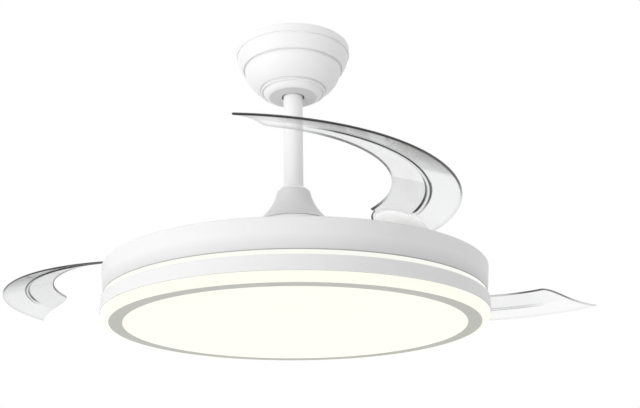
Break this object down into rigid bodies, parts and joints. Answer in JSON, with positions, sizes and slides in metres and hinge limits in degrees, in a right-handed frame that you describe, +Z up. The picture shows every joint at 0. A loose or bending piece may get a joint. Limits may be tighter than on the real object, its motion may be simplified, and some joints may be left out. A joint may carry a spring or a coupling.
{
  "type": "ceiling fan with retractable blades and light",
  "caption": "Ceiling fan on a short downrod: a round white drum with a glowing diffuser, and clear curved blades that swing open from its top and fold back.",
  "frame": {"origin": "centre of the ceiling plate's upper face, where the fan meets the ceiling", "axes": "+Z up into the ceiling, along the rod and the motor axis; +X along the line of the two ceiling screws; the picture is taken from the -Y side"},
  "size_m": [0.8931, 0.8087, 0.404],
  "materials": {
    "white_paint": "satin",
    "zinc_steel": "satin",
    "white_casting": "painted",
    "bare_aluminium": "satin",
    "white_shell": "satin",
    "dark_rubber": "matt",
    "stator_steel": "matt",
    "magnet": "matt",
    "copper": "enamelled",
    "bush_bronze": "satin",
    "white_moulding": "matt",
    "cable_sheath": "matt",
    "board": "matt",
    "chip": "satin",
    "glow_plastic": "frosted",
    "opal_diffuser": "frosted",
    "grey_ring": "satin",
    "clear_blade": "clear"
  },
  "bodies": {
    "ceiling_mount": {"ceiling_bracket": "zinc_steel", "canopy": "white_paint", "canopy_screws": "white_paint", "canopy_trim": "white_paint", "remote_receiver": "white_moulding", "terminal_block": "white_moulding", "earth_screw": "bush_bronze"},
    "suspension": {"hanger_ball": "dark_rubber", "ball_pin": "zinc_steel", "downrod": "white_paint", "coupling_cover": "white_paint", "coupling": "zinc_steel", "clevis_pin": "zinc_steel", "clevis_clip": "zinc_steel", "coupling_set_screws": "zinc_steel", "motor_shaft": "zinc_steel", "stator_core": "stator_steel", "stator_windings": "copper", "bearing_inner_races": "zinc_steel", "supply_cable": "cable_sheath", "shaft_nut": "zinc_steel", "drum_housing": "white_paint", "led_tray": "bare_aluminium", "light_screws": "zinc_steel", "led_board": "board", "led_chips": "chip", "led_driver": "white_moulding", "slit_ring": "glow_plastic", "lower_band": "white_paint", "diffuser": "opal_diffuser", "trim_ring": "grey_ring"},
    "rotor": {"motor_bell": "white_casting", "motor_base": "zinc_steel", "rotor_magnets": "magnet", "bearing_outer_races": "zinc_steel", "bearing_balls": "zinc_steel", "blade_carrier": "bare_aluminium", "rotor_screws": "zinc_steel", "pivot_bushes": "bush_bronze", "sync_guide": "white_moulding", "return_springs": "zinc_steel", "mechanism_cover": "white_shell", "cover_screws": "zinc_steel"},
    "synchroniser": {"sync_gear": "white_moulding"},
    "blade_arm_1": {"blade_1": "clear_blade", "root_hub_1": "white_moulding", "hub_screws_1": "zinc_steel", "blade_gear_1": "white_moulding", "pivot_shaft_1": "zinc_steel"},
    "blade_arm_2": {"blade_2": "clear_blade", "root_hub_2": "white_moulding", "hub_screws_2": "zinc_steel", "blade_gear_2": "white_moulding", "pivot_shaft_2": "zinc_steel"},
    "blade_arm_3": {"blade_3": "clear_blade", "root_hub_3": "white_moulding", "hub_screws_3": "zinc_steel", "blade_gear_3": "white_moulding", "pivot_shaft_3": "zinc_steel"}
  },
  "joints": [
    {"name": "hanger_tilt", "type": "hinge", "parent": "ceiling_mount", "child": "suspension", "pos_m": [0, 0, -0.038], "axis": [1, 0, 0], "range_deg": [-2.5, 2.5]},
    {"name": "rotor_spin", "type": "hinge", "parent": "suspension", "child": "rotor", "pos_m": [0, 0, -0.3], "axis": [0, 0, 1], "continuous": true},
    {"name": "sync_turn", "type": "hinge", "parent": "rotor", "child": "synchroniser", "pos_m": [0, 0, -0.334], "axis": [0, 0, 1], "range_deg": [0, 10.93], "deforming": ["return_springs"]},
    {"name": "blade_1_fold", "type": "hinge", "parent": "rotor", "child": "blade_arm_1", "pos_m": [0.12075, -0.17181, -0.33], "axis": [0, 0, 1], "range_deg": [-79, 0]},
    {"name": "blade_2_fold", "type": "hinge", "parent": "rotor", "child": "blade_arm_2", "pos_m": [0.08842, 0.19048, -0.33], "axis": [0, 0, 1], "range_deg": [-79, 0]},
    {"name": "blade_3_fold", "type": "hinge", "parent": "rotor", "child": "blade_arm_3", "pos_m": [-0.20917, -0.01867, -0.33], "axis": [0, 0, 1], "range_deg": [-79, 0]}
  ],
  "couplings": [
    {"joint": "sync_turn", "follows": "blade_1_fold", "ratio": -0.13821},
    {"joint": "blade_2_fold", "follows": "blade_1_fold", "ratio": 1},
    {"joint": "blade_3_fold", "follows": "blade_1_fold", "ratio": 1}
  ]
}
